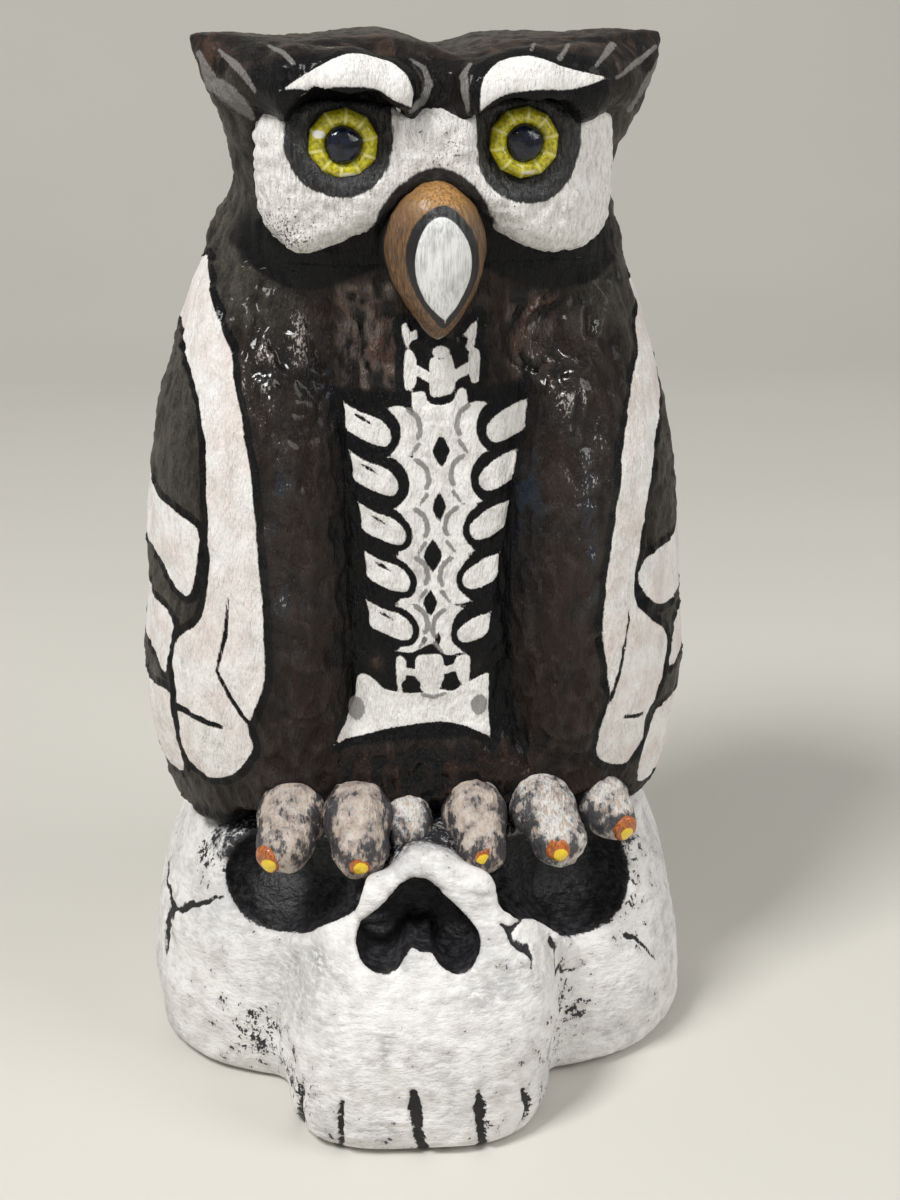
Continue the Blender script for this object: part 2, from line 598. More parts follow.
def breastBones(x, z):
    bones = []
    nick = [(3, -3.6), (4.6, -4.4), (7, -6)]
    for tx, tz in breast["ribsRight"]:
        rib = inside(x - tx, z - tz, breast["ribRight"])
        bones.append(np.minimum(rib, -along(x - tx, z - tz, nick, [0.1, 0.45, 0.1])))
    for tx, tz, size in breast["ribsLeft"]:
        bones.append(inside((x - tx) / size, (z - tz) / size, breast["ribLeft"]) * size)
    spine = inside(x, z, breast["column"])
    for tx, tz in breast["rowsRight"]:
        spine = np.maximum(spine, inside(x - tx, z - tz, breast["crescent"]))
    for tx, tz in breast["rowsLeft"]:
        spine = np.maximum(spine, inside(tx - x, z - tz, breast["crescent"]))
    spine = np.minimum(spine, -np.max(bones, 0) - breast["gap"])
    for cx, cz, rx, rz in breast["holes"]:
        ragged = 1 - np.abs((x - cx) / rx) ** 1.25 - np.abs((z - cz) / rz) ** 1.25
        spine = np.minimum(spine, -ragged * rx * 0.8)
    low = [inside(x, z, one) for one in breast["loin"] + [breast["pelvis"]]]
    low += [along(x, z, arm, 1.1) for arm in breast["loinArms"]]
    low = np.max(low, 0)
    for cx, cz, rx, rz in breast["loinHoles"]:
        low = np.minimum(low, -spot(x, z, cx, cz, rx, rz))
    neck = [inside(x, z, one) for one in breast["neck"]]
    neck += [along(x, z, arm, 1.3) for arm in breast["neckArms"]]
    neck.append(spot(x, z, 2.1, 205.6, 2.2, 1.6))
    return np.max(bones + [spine, low] + neck, 0)


def breastLines(x, z):  # thin grey lines that set the crescents off from the column
    lines = []
    bow = rounded([(-5.4, 6.4), (-2.6, 4), (-1.8, 0.5), (-2.6, -1.5)], 4, False)
    for side, rows in ((1, breast["rowsRight"]), (-1, breast["rowsLeft"])):
        for tx, tz in rows:
            u = side * (x - tx)
            lines.append(along(u, z - tz, bow, [0.3] + [0.75] * (len(bow) - 2) + [0.3]))
            lines.append(along(u, z - tz, [(-2.4, -3.2), (-4.4, -6)], [0.7, 0.4]))
    lines += [spot(x, z, *patch) for patch in breast["greyPatches"]]
    lines.append(along(x, z, [(-3.4, 112.8), (-0.6, 111.8), (2.6, 112.8)], 0.6))
    return np.max(lines, 0)


# Painted bones on the wings: degrees round from the front, and z
wings = {
    "perDegree": 1.2,  # millimetres round the wing for one degree
    "right": {
        "bones": [
            cornered(
                (100, 220), (85, 226), (75, 223), (67, 217), (57, 206.5), (53, 197), (50, 188),
                (46.5, 174), (45, 156), (44, 143), (43.6, 131), (44, 120), (47, 110), (48.6, 106),
                (48, 100), (51, 94), (55, 89.6), (60, 87.6), (65, 89.4), (67, 95), (66.6, 102),
                (67, 112), (67.4, 121), (65, 128), (60, 133), (57.6, 140), (56.6, 152), (58, 175),
                (60.5, 186), (66, 196), (80, 207), (96, 210)),
            cornered(
                (100, 170), (88, 167), (74, 163.6), (62, 160.6), (59.4, 158), (59.6, 150), (61.4, 141.6),
                (64.4, 140), (69, 143), (78, 148), (100, 150)),
            cornered(
                (90, 136), (76, 135), (67.4, 132), (67.4, 127), (69, 121), (70, 115.6), (74, 117.6),
                (82, 121), (92, 124)),
            cornered(
                (96, 108), (84, 108), (70, 110.6), (68.8, 106), (68.6, 96), (69, 86.6), (76, 84.6),
                (88, 86), (97, 92))],
        "cuts": [
            ([(66.5, 107), (60, 106), (55, 104.6)], [1, 0.9, 0.6]),
            ([(52, 142), (53, 131), (55, 121)], [0.35, 0.7, 0.35]),
            ([(55, 121), (51.6, 113), (47.5, 106)], [0.5, 0.6, 0.6])],
    },
    "left": {
        "bones": [
            cornered(
                (88, 216), (76, 216), (68, 209), (64, 202), (58.6, 196), (51, 181), (47.6, 166),
                (45, 150), (43.8, 138), (43.4, 129), (45, 116), (46, 109), (44.6, 101), (44.6, 93),
                (49, 88), (55, 86.6), (58, 92), (58.4, 100), (62.6, 108), (64.6, 116), (63.4, 123),
                (58, 128.6), (53.4, 135), (53, 143), (54.4, 153), (57.4, 167), (63, 179), (72, 190),
                (86, 200)),
            cornered(
                (92, 158), (78, 152), (68, 148.6), (58, 147), (54, 142.4), (56.4, 136.4), (61, 132),
                (68, 131.4), (80, 134), (94, 140)),
            cornered((92, 128), (80, 126), (70.6, 125.6), (67.6, 119), (66, 111.4), (74, 113), (88, 114)),
            cornered(
                (94, 104), (80, 101), (69, 100.6), (62.4, 99), (60, 93), (60.4, 83), (63, 76.4),
                (71, 74.6), (84, 80), (95, 88))],
        "cuts": [
            ([(51, 134), (49, 121), (46, 108)], [0.3, 0.6, 0.6]),
            ([(51, 102), (56.5, 101)], [0.5, 0.6])],
    },
}


def wingBones(x, y, z):
    turn = np.degrees(np.arctan2(np.abs(x), -y))
    scale = wings["perDegree"]
    out = np.full(len(x), unpainted)
    for side, sign in (("left", 1), ("right", -1)):
        mine = x * sign > 0
        u, v = turn[mine] * scale, z[mine]
        best = np.full(len(u), unpainted)
        for outline in wings[side]["bones"]:
            best = np.maximum(best, inside(u, v, outline * (scale, 1)))
        for line, half in wings[side]["cuts"]:
            best = np.minimum(best, -along(u, v, np.array(line) * (scale, 1), half))
        out[mine] = best
    return out


# Painted bones and strokes on the brows; the height is taken along a line that leans back with the brow
brows = {
    "lean": 0.35,
    "bones": [
        cornered(
            (-36.8, 270.6), (-36.8, 270.6), (-30, 274.4), (-24, 277), (-18.6, 277.9), (-12.4, 277),
            (-8, 273.6), (-6.2, 269.4), (-6.4, 265.8), (-6.4, 265.8), (-10.6, 266.6), (-15.4, 269.2),
            (-22.4, 269.4), (-30, 270)),
        cornered(
            (9.9, 264.4), (9.9, 264.4), (9.8, 269), (11, 272.6), (14.4, 275.8), (20, 277.2), (28.6, 275),
            (36, 273.6), (41.6, 273), (41.6, 273), (36.4, 270.6), (28.4, 268.6), (21.6, 268.2),
            (15.6, 267.6))],
    "strokes": [
        ([(-5.6, 280), (-2, 277.4), (-0.9, 273.6), (-3, 269), (-6.6, 265)], [0.3, 0.7, 1, 0.8, 0.3]),
        ([(8.2, 277), (6.2, 273.6), (6.3, 270), (7.3, 265)], [0.4, 0.9, 0.9, 0.4]),
        ([(-50.6, 286), (-47, 280), (-42.6, 272.6)], [0.4, 1, 0.4]),
        ([(-38.6, 284), (-34, 276.6)], [0.7, 0.6]),
        ([(-28.6, 285), (-24.4, 280.6)], [0.9, 0.3]),
        ([(-19.6, 286), (-15.6, 282)], [1, 0.3]),
        ([(24.8, 283), (22.4, 278.6)], [0.5, 0.4]),
        ([(34, 283.4), (29.4, 277)], [0.4, 0.7]),
        ([(45.8, 284.4), (38.6, 275.6)], [1, 0.5]),
        ([(59.6, 287.6), (53, 281.4), (45, 274.4)], [0.5, 0.8, 0.4]),
        ([(-56, 287), (-52.6, 279), (-47.6, 273), (-41.6, 267)], [0.6, 1.2, 1, 0.4]),
        ([(60, 284), (56.6, 278), (51, 271)], [0.5, 0.8, 0.5])],
}


def browMarks(x, y, z):
    lifted = z + brows["lean"] * (y + 50)
    bones = np.max([inside(x, lifted, one) for one in brows["bones"]], 0)
    strokes = np.max([along(x, lifted, line, half) for line, half in brows["strokes"]], 0)
    return bones, strokes, lifted


def owlMarks(p, facing):  # what the brush does at each point of the owl's skin
    x, y, z = p.T
    seen = ease((0.33 * facing[:, 2] - 0.94 * facing[:, 1] - 0.02) / 0.12)
    front = ease((-18 - y) / 6)
    turn = np.degrees(np.arctan2(np.abs(x), -y))
    t = grooveShare(x, z)
    onBreast = (t < 1.12) & (y < -20) & (z < 226)
    onHead = z > 250
    browBone, browStroke, lifted = browMarks(x, y, z)
    browBone = mixed(unpainted, browBone, seen * ease((-46 - y) / 1.5))
    reached = (browForm(x, y, z) < 1) | (np.abs(x) < 9) | (np.abs(x) > 44)
    browStroke = np.where(reached & (y < 5), browStroke, unpainted)
    bone = np.where(onBreast, breastBones(x, z), np.where(onHead, browBone, wingBones(x, y, z)))
    stroke = np.where(onBreast, breastLines(x, z), np.where(onHead, browStroke, unpainted))
    below = toOutline(x, z, discShape["outline"])
    band = ease((below + 11) / 1.5) * ease((-8 - y) / 18) * ease((244 - z) / 8)
    under = ease((281 - 0.05 * np.abs(x) - lifted) / 1.2) * ease((-26 - y) / 5) * (z > 255)
    under = under * (0.75 + 0.25 * ease((np.abs(x - 1.5) - 5.5) / 3)) * ease((46 - np.abs(x)) / 4)
    rib = (t < 1.05) * ease((198 - z) / 3) * ease((z - 99) / 2) * front
    pit = cloud(t, z, 1, 150, 0.28, 62) * front
    loin = clouds(x, z, (1, 11, 119.5, 1.6, 3), (1, -16, 122.5, 2.4, 3.6))
    foot = ease((78 - z) / 4) * front * (np.abs(x) > 34)
    dark = np.clip(band + rib + under + 0.85 * pit + foot - loin, 0, 1)
    patchRight = ease((x + 25.5) / 2) * ease((-7.2 - x - 0.12 * (z - 210)) / 1.5) * ease((225 - z) / 3)
    patchLeft = ease((x - 18.4) / 1.5) * ease((34.5 - x) / 3) * ease((222 - z) / 5)
    patch = patchRight * ease((z - 195) / 2) + patchLeft * ease((z - 195.5) / 2)
    patch = (patch + clouds(x, z, (1, 11, 119.5, 1.6, 3), (0.8, -16, 122.5, 2.4, 3.6))) * front
    belly = ease((99 - z) / 2.5) * ease((1.2 - t) / 0.2) * front
    ridge = cloud(turn, z, 34, 120, 6, 45) * 0.8
    side = ease((turn - np.where(z > 236, 44, 56)) / 12) * (1 - 0.25 * ease((z - 255) / 20))
    shoulder = ease((z - 205) / 12) * ease((turn - 40) / 12) * ease((268 - z) / 14)
    strip = ease((lifted - 279) / 1.5) * ease((-2 - y) / 8) * (z > 268) * ease((np.abs(x - 2) - 7) / 5)
    blue = cloud(turn, z, 40, 158, 2.6, 22) + np.where(x > 0, 0.8 * cloud(turn, z, 29, 172, 2, 16),
            0.7 * cloud(turn, z, 33, 198, 3.5, 7))
    shine = np.where(x > 0, clouds(turn, z, (1, 38, 196, 4, 13), (0.8, 42, 178, 7, 16)),
            clouds(turn, z, (1, 47, 203, 5, 14), (0.5, 41, 176, 4, 26)))
    tip = cloud(x, z, -46, 281, 7, 2.5) * (y < -8)
    glint = shine + 0.4 * cloud(turn, z, 38, 148, 6, 20) + 0.4 * tip + 0.3 * patch + 0.2 * belly
    return {"bone": bone, "stroke": stroke, "dark": dark, "patch": np.clip(patch, 0, 1), "belly": belly,
            "ridge": ridge, "side": np.clip(side + 0.7 * shoulder, 0, 1), "strip": strip,
            "blue": blue * front, "glint": np.clip(glint, 0, 1)}


def owlRelief(p, marks):  # how far the papery skin and the paint on it stand up
    x, y, z = p.T
    q = p + 3.5 * np.stack([grain(p, 13, 11), grain(p, 13, 12), grain(p, 19, 13)], 1)
    lumps = 0.55 * grain(p, 19, 1) + 0.35 * grain(p, 8, 2)
    crease = 1 - 2 * np.abs(grain(q, (4, 4, 7), 7))
    fibres = 0.45 * grain(q, (2.8, 2.8, 9), 3) + 0.5 * np.abs(grain(q, (2.2, 2.2, 4), 4))
    fibres = fibres + 0.5 * crease * np.abs(crease)
    locks = grain(q, (3.4, 3.4, 26), 5) * ease((z - 192) / 16) * ease((np.abs(x) - 24) / 10)
    locks = locks * ease((262 - z) / 10)
    where = np.maximum.reduce([marks["patch"], 0.9 * marks["glint"],
            0.4 * ease((-y - 20) / 10) * (z < 226)])
    wrinkles = 0.85 * grain(q, (2.1, 2.1, 3.4), 6) * where
    bone = ease((marks["bone"] + 0.4) / 0.7)
    calm = (1 - 0.6 * bone - 0.35 * marks["dark"] * (1 - bone)) * (1 - 0.5 * ease((z - 270) / 8))
    marks["high"] = np.clip(0.4 + 0.6 * (fibres - 0.3) + 0.5 * wrinkles + 0.3 * locks, 0, 1)
    stroke = ease((marks["stroke"] + 0.3) / 0.5)
    return lumps + (fibres + locks + wrinkles) * calm + 0.28 * bone + 0.12 * stroke


def skullMarks(p):
    x, y, z = p.T
    hollow = -wholeSkull(x, y, z)
    front = ease((-15 - y) / 10)
    bentX = x + 0.6 * grain(p, 2.6, 28)
    bentZ = z + 0.6 * grain(p, 2.6, 29)
    crack = np.max([along(bentX, bentZ, *one) for one in skull["cracks"]], 0)
    tooth = np.max([along(bentX, bentZ, *one) for one in skull["teeth"]], 0)
    speckle = 0.12 + front * clouds(x, z, (1, -46, 16, 13, 12), (0.7, 36, 20, 10, 16),
            (1.3, -58, 65, 13, 8), (0.6, 60, 50, 8, 12), (1.2, 58, 65, 9, 6), (0.35, 54, 36, 9, 6),
            (0.3, 0, 7, 34, 7))
    smudge = front * clouds(x, z, (0.8, -29.5, 48.4, 3, 3), (0.7, -13.4, 32, 2, 5), (0.5, -36, 40, 7, 9),
            (0.35, 14, 45, 7, 5), (0.4, 2, 26, 5, 5), (0.5, -8, 52, 3, 2))
    seat = ease((z - 64 + 4 * ease((np.abs(x) - 34) / 8)) / 3) * ease((-12 - y) / 10)
    return {"hollow": hollow, "crack": np.where(y < 12, crack, unpainted),
            "tooth": np.where(y < -60, tooth, unpainted),
            "speckle": np.clip(speckle, 0, 1), "smudge": np.clip(smudge, 0, 1),
            "seat": seat * ease((64 - np.abs(x)) / 10) * ease((y + 60) / 8)}


def skullRelief(p, marks):
    folds = np.abs(grain(p, (9, 9, 5), 25)) * clouds(p[:, 0], p[:, 2], (1, 62, 60, 12, 9),
            (0.7, -38, 47, 12, 4), (0.7, 28, 50, 8, 8))
    lumps = 0.9 * grain(p, 24, 21) + 0.9 * grain(p, 10, 22) + 1.6 * folds
    swept = p + 7 * np.stack([grain(p, 21, 27), grain(p, 21, 30), grain(p, 15, 31)], 1)
    brush = 0.55 * np.abs(grain(swept, (9, 9, 3.2), 23))
    brush = brush + 0.3 * np.abs(grain(swept, (3, 3, 6), 24)) * ease(0.5 + grain(p, 16, 32))
    cut = 1.3 * ease((marks["tooth"] + 0.7) / 1.4) + 0.7 * ease(marks["crack"] + 0.5)
    return lumps + brush - cut


def shade(red, green, blue):  # a paint-chart colour as the shader wants it
    return tuple(c / 12.92 / 255 if c < 11 else ((c / 255 + 0.055) / 1.055) ** 2.4
            for c in (red, green, blue))


class Tone:  # a node's output; sums on it add Math nodes
    def __init__(self, paint, socket):
        self.paint, self.socket = paint, socket

    def math(self, operation, *values):
        return self.paint.node("ShaderNodeMath", {"operation": operation}, dict(enumerate(values)))

    def __add__(self, other):
        return self.math("ADD", self, other)

    def __radd__(self, other):
        return self.math("ADD", other, self)

    def __sub__(self, other):
        return self.math("SUBTRACT", self, other)

    def __rsub__(self, other):
        return self.math("SUBTRACT", other, self)

    def __mul__(self, other):
        return self.math("MULTIPLY", self, other)

    def __rmul__(self, other):
        return self.math("MULTIPLY", other, self)


class Paint:  # one material and the nodes behind it
    def __init__(self, name, **fixed):
        self.material = bpy.data.materials.new(name)
        self.material.use_nodes = True
        self.tree = self.material.node_tree
        self.shader = self.tree.nodes["Principled BSDF"]
        self.where = self.node("ShaderNodeTexCoord", out="Object")
        for socket, value in fixed.items():
            self.feed(self.shader.inputs[socket.replace("_", " ")], value)

    def node(self, kind, settings=None, sockets=None, out=0):
        new = self.tree.nodes.new(kind)
        for key, value in (settings or {}).items():
            setattr(new, key, value)
        for key, value in (sockets or {}).items():
            self.feed(new.inputs[key], value)
        return Tone(self, new.outputs[out])

    def feed(self, socket, value):
        if isinstance(value, Tone):
            self.tree.links.new(value.socket, socket)
        else:
            socket.default_value = (*value, 1) if socket.type == "RGBA" else value

    def mark(self, name):
        return self.node("ShaderNodeAttribute", {"attribute_name": name}, out="Fac")

    def noise(self, size, seed=0.0, detail=2, rough=0.5):  # size is millimetres along x, y and z
        size = size if isinstance(size, tuple) else (size,) * 3
        spread = self.node("ShaderNodeVectorMath", {"operation": "MULTIPLY_ADD"},
                {0: self.where, 1: tuple(1 / (mm * s) for s in size), 2: (seed, seed * 1.7, -seed)})
        return self.node("ShaderNodeTexNoise", None,
                {"Vector": spread, "Scale": 1, "Detail": detail, "Roughness": rough})

    def fade(self, value, low, high):  # 0 at low, 1 at high
        return self.node("ShaderNodeMapRange", None, {0: value, 1: low, 2: high})

    def blend(self, share, a, b):
        return self.node("ShaderNodeMix", {"data_type": "RGBA"}, {0: share, 6: a, 7: b}, 2)

    def between(self, value, low, high, a, b):  # colour a where the value is low, b where it is high
        return self.blend(self.fade(value, low, high), a, b)

    def relief(self, height, depth, strength=1.0):  # depth in millimetres
        normal = self.node("ShaderNodeBump", None,
                {"Strength": strength, "Distance": depth * mm, "Height": height})
        self.feed(self.shader.inputs["Normal"], normal)

    def finish(self, colour, rough):
        self.feed(self.shader.inputs["Base Color"], colour)
        self.feed(self.shader.inputs["Roughness"], rough)
        return self.material


owlColours = {
    "black": shade(11, 11, 13), "soot": shade(27, 24, 23), "brown": shade(43, 32, 26),
    "rust": shade(55, 34, 25), "ash": shade(104, 92, 85),
    "umber": shade(88, 64, 52), "worn": shade(74, 66, 62), "side": shade(92, 88, 79),
    "sideDark": shade(44, 42, 38), "blue": shade(23, 43, 60),
    "glint": shade(190, 182, 176),
    "bone": shade(235, 233, 229), "boneShade": shade(200, 196, 191), "bonePink": shade(226, 206, 198),
    "stroke": shade(132, 129, 126), "copper": shade(70, 53, 44),
}


def owlPaint(name, pink=0.0):
    c = owlColours
    paint = Paint(name, Coat_Roughness=0.14, Specular_IOR_Level=0.14)
    fibre = paint.noise((0.9, 0.9, 3), 3, 3, 0.6)
    streak = paint.noise((3.4, 3.4, 9), 7, 3, 0.6)
    patchy = paint.noise(11, 11, 3)
    speck = paint.noise((0.65, 0.65, 1.2), 5, 2, 0.6)
    bristle = paint.noise((0.5, 0.5, 1.6), 17, 2, 0.6)
    high = paint.mark("high")
    lit = paint.fade(high + 0.7 * (fibre - 0.5) + 0.4 * (bristle - 0.5), 0.3, 0.95)
    base = paint.between(0.5 * streak + 0.5 * patchy, 0.4, 0.62, c["soot"], c["brown"])
    rusty = 0.6 * paint.mark("ridge") * paint.fade(patchy + 0.5 * (streak - 0.5), 0.42, 0.62)
    base = paint.blend(rusty, base, c["rust"])
    base = paint.blend(0.58 * lit, base, c["worn"])
    base = paint.blend(paint.mark("belly"), base, paint.blend(lit, c["black"], c["rust"]))
    brushed = 0.3 * lit + 0.7 * paint.fade(streak + 0.4 * (fibre - 0.5), 0.34, 0.66)
    base = paint.blend(paint.mark("side") * 0.95, base, paint.blend(brushed, c["sideDark"], c["side"]))
    ashy = paint.between(patchy + 0.6 * (streak - 0.5), 0.4, 0.58, c["ash"], c["umber"])
    ashy = paint.between(high + 0.9 * (fibre - 0.5), 0.12, 0.68, c["soot"], ashy)
    base = paint.blend(paint.mark("patch"), base, ashy)
    coppery = paint.between(0.5 * patchy + 0.5 * high, 0.42, 0.62, c["soot"], c["copper"])
    base = paint.blend(paint.mark("strip"), base, coppery)
    base = paint.blend(paint.mark("dark"), base, c["black"])
    base = paint.blend(0.8 * paint.mark("blue") * paint.fade(high + fibre - 0.5, 0.4, 0.72), base,
            c["blue"])
    sparkle = 0.85 * paint.fade(0.7 * speck + 0.3 * high + 0.08 * paint.mark("glint"), 0.66, 0.72)
    sparkle = sparkle * paint.fade(paint.mark("glint"), 0.15, 0.5)
    base = paint.blend(sparkle, base, c["glint"])
    edge = paint.mark("bone") + 0.8 * (bristle - 0.5) + 0.5 * (patchy - 0.5)
    base = paint.between(edge, -2.5, -2.1, base, c["black"])
    bone = paint.fade(edge, -0.12, 0.12)
    white = paint.between(0.4 * bristle + 0.4 * streak + 0.2 * patchy, 0.47, 0.64, c["bone"],
            c["boneShade"])
    if pink:
        white = paint.blend(pink * paint.fade(patchy, 0.42, 0.62), white, c["bonePink"])
    colour = paint.blend(bone, base, white)
    stroke = paint.fade(paint.mark("stroke") + 0.8 * (bristle - 0.5), -0.1, 0.2)
    colour = paint.blend(stroke * 0.9, colour, c["stroke"])
    rugged = 0.8 * fibre + 0.35 * bristle + 0.9 * speck * paint.mark("glint")
    paint.relief(rugged * (1 - 0.55 * bone) + 0.5 * streak, 1.9, 1)
    rough = 0.37 + 0.2 * bone + 0.3 * (patchy - 0.5)
    rough = rough - 0.12 * paint.mark("glint") + 0.1 * paint.mark("side")
    paint.feed(paint.shader.inputs["Coat Weight"], (0.14 + 0.6 * paint.mark("glint")) * (1 - bone))
    return paint.finish(colour, rough)


def discPaint():
    paint = Paint("brushedDisc")
    bristle = paint.noise((0.8, 1, 3), 2, 3, 0.65)
    pits = paint.noise(0.8, 8, 2, 0.7)
    patchy = paint.noise(7, 5)
    white = paint.between(bristle, 0.44, 0.66, shade(236, 234, 230), shade(204, 199, 194))
    flecks = paint.fade(pits + 0.17 * paint.mark("speckle"), 0.69, 0.74)
    white = paint.blend(flecks * 0.9, white, shade(52, 47, 44))
    eye = paint.mark("hollow") + 1.4 * (bristle - 0.5) + 0.5 * (patchy - 0.5)
    dark = paint.between(bristle, 0.46, 0.68, shade(24, 24, 27), shade(66, 65, 66))
    colour = paint.between(eye, -0.2, 0.2, white, dark)
    colour = paint.between(paint.mark("edge") + 0.8 * (bristle - 0.5), -0.2, 0.4, colour,
            shade(30, 28, 29))
    paint.relief(0.8 * bristle + 0.3 * pits, 1.1, 1)
    return paint.finish(colour, 0.62 - 0.2 * paint.fade(eye, -0.2, 0.2))


def beakPaint():
    paint = Paint("gildedBeak", Coat_Weight=0.25, Coat_Roughness=0.25)
    bristle = paint.noise((0.5, 0.5, 5), 4, 3, 0.6)
    patchy = paint.noise(5, 9)
    gold = paint.between(bristle, 0.4, 0.64, shade(120, 88, 54), shade(68, 49, 37))
    gold = paint.blend(paint.mark("warm") * paint.fade(bristle, 0.4, 0.55), gold, shade(188, 138, 72))
    ring = paint.mark("ring") + 0.7 * (bristle - 0.5)
    drop = paint.mark("drop") + 0.5 * (bristle - 0.5)
    colour = paint.between(paint.mark("rim") + 0.6 * (patchy - 0.5), -0.2, 0.3, gold, shade(18, 17, 18))
    colour = paint.between(ring, -0.15, 0.15, colour, shade(17, 16, 18))
    white = paint.between(0.6 * bristle + 0.4 * patchy, 0.44, 0.62, shade(232, 232, 230),
            shade(184, 184, 184))
    colour = paint.between(drop, -0.12, 0.12, colour, white)
    paint.relief(bristle, 0.5, 0.8)
    return paint.finish(colour, 0.42)


def skullPaint():
    paint = Paint("whitewashedSkull")
    bristle = paint.noise((2.6, 2.6, 1.1), 6, 3, 0.65)
    pits = paint.noise((1.3, 1.3, 1.7), 12, 3, 0.7)
    patchy = paint.noise(5, 15, 3)
    white = paint.between(0.3 * bristle + 0.7 * patchy, 0.45, 0.68, shade(232, 230, 227),
            shade(200, 195, 191))
    cold = paint.noise(26, 21, 3, 0.6)
    white = paint.blend(0.5 * paint.fade(cold + 0.4 * (bristle - 0.5), 0.5, 0.66), white,
            shade(172, 172, 176))
    white = paint.blend(0.85 * paint.mark("smudge") * paint.fade(bristle, 0.34, 0.52), white,
            shade(128, 128, 130))
    flecks = paint.fade(0.6 * pits + 0.4 * patchy + 0.15 * paint.mark("speckle"), 0.655, 0.68)
    white = paint.blend(flecks, white, shade(34, 36, 42))
    seat = paint.mark("seat") * paint.fade(0.6 * pits + 0.4 * patchy, 0.36, 0.5)
    white = paint.blend(seat, white, shade(30, 31, 36))
    dark = paint.between(bristle, 0.44, 0.68, shade(22, 22, 25), shade(58, 57, 59))
    hollow = paint.fade(paint.mark("hollow") + 1.6 * (pits - 0.5) + (patchy - 0.5), 1.1, 1.5)
    colour = paint.blend(hollow, white, dark)
    lines = paint.fade(paint.mark("crack") + 0.9 * (pits - 0.5), -0.12, 0.12)
    colour = paint.blend(lines, colour, shade(20, 20, 22))
    gaps = paint.fade(paint.mark("tooth") + 2 * (bristle - 0.5) + 2.6 * (pits - 0.5), -0.15, 0.15)
    colour = paint.blend(gaps, colour, shade(22, 21, 22))
    paint.relief(0.5 * bristle + 0.25 * pits + 0.7 * patchy, 1.1, 1)
    return paint.finish(colour, 0.56 - 0.06 * hollow)


def toePaint():
    paint = Paint("dryBrushedToe", Coat_Weight=0.12, Coat_Roughness=0.3)
    bristle = paint.noise((0.9, 2.4, 2.4), 8, 3, 0.7)
    patchy = paint.noise(5, 3, 3, 0.6)
    flesh = paint.between(patchy, 0.4, 0.6, shade(186, 168, 152), shade(146, 128, 118))
    flesh = paint.blend(paint.mark("chalk") * paint.fade(bristle, 0.4, 0.55), flesh, shade(212, 210, 206))
    bare = paint.fade(0.7 * bristle + 0.9 * (patchy - 0.5) + 0.24 * paint.mark("bare"), 0.41, 0.54)
    colour = paint.blend(0.92 * bare, flesh, shade(34, 36, 44))
    paint.relief(bristle, 0.9, 1)
    return paint.finish(colour, 0.5)


def clawPaint():
    paint = Paint("orangeClaw", Coat_Weight=0.5, Coat_Roughness=0.15)
    bristle = paint.noise((0.6, 0.6, 1.6), 5, 3, 0.6)
    orange = paint.between(bristle, 0.4, 0.62, shade(190, 104, 36), shade(128, 66, 30))
    colour = paint.between(paint.mark("dab") + (bristle - 0.5), -0.1, 0.15, orange, shade(238, 204, 30))
    paint.relief(bristle, 0.4, 0.7)
    return paint.finish(colour, 0.34)


def irisPaint():
    paint = Paint("facetedIris", Coat_Weight=0.6, Coat_Roughness=0.12)
    bristle = paint.noise((0.9, 0.9, 0.9), 5, 3, 0.6)
    yellow = paint.between(bristle, 0.4, 0.62, shade(206, 196, 28), shade(142, 134, 16))
    yellow = paint.between(paint.mark("seam") + 0.5 * (bristle - 0.5), -0.1, 0.1, yellow,
            shade(214, 208, 120))
    colour = paint.between(paint.mark("glare") + 0.8 * (bristle - 0.5), -0.1, 0.3, yellow,
            shade(240, 240, 232))
    paint.relief(bristle, 0.3, 0.6)
    return paint.finish(colour, 0.3)


def pupilPaint():
    paint = Paint("glossyPupil", Coat_Weight=0.35, Coat_Roughness=0.05, Specular_IOR_Level=0.3)
    swirl = paint.noise((1.6, 1.6, 1.6), 4, 2, 0.5)
    colour = paint.between(swirl, 0.42, 0.64, shade(10, 11, 18), shade(24, 30, 52))
    paint.relief(swirl, 0.5, 0.5)
    return paint.finish(colour, 0.16)


def dowelWood():
    paint = Paint("beechDowel")
    rings = paint.noise((1.2, 1.2, 22), 2, 3, 0.6)
    colour = paint.between(rings, 0.36, 0.66, shade(206, 170, 120), shade(158, 116, 74))
    paint.relief(rings, 0.2, 0.5)
    return paint.finish(colour, 0.6)


def floorPaint():
    paint = Paint("paleFloor")
    haze = paint.noise(260, 2, 2)
    colour = paint.blend(haze, shade(216, 213, 204), shade(208, 205, 197))
    return paint.finish(colour, 0.62)


materials = {
    "body": owlPaint("owlBodyPaint"), "wing": owlPaint("owlWingPaint", 0.4), "disc": discPaint(),
    "beak": beakPaint(), "skull": skullPaint(),
    "toe": toePaint(), "claw": clawPaint(), "iris": irisPaint(), "pupil": pupilPaint(),
    "wood": dowelWood(), "floor": floorPaint(),
}
print("paints mixed")


def owlPiece(name, field, low, high, material, nodes, fine=1.0, form=owlSkin):
    points, quads = sculpt(field, low, high, fine)
    facing = outward(form, points)
    marks = owlMarks(points, facing)
    points = points + facing * owlRelief(points, marks)[:, None]
    meshPiece(name, points, quads, owlPlace, materials[material], nodes, marks)
    print(name, len(quads))


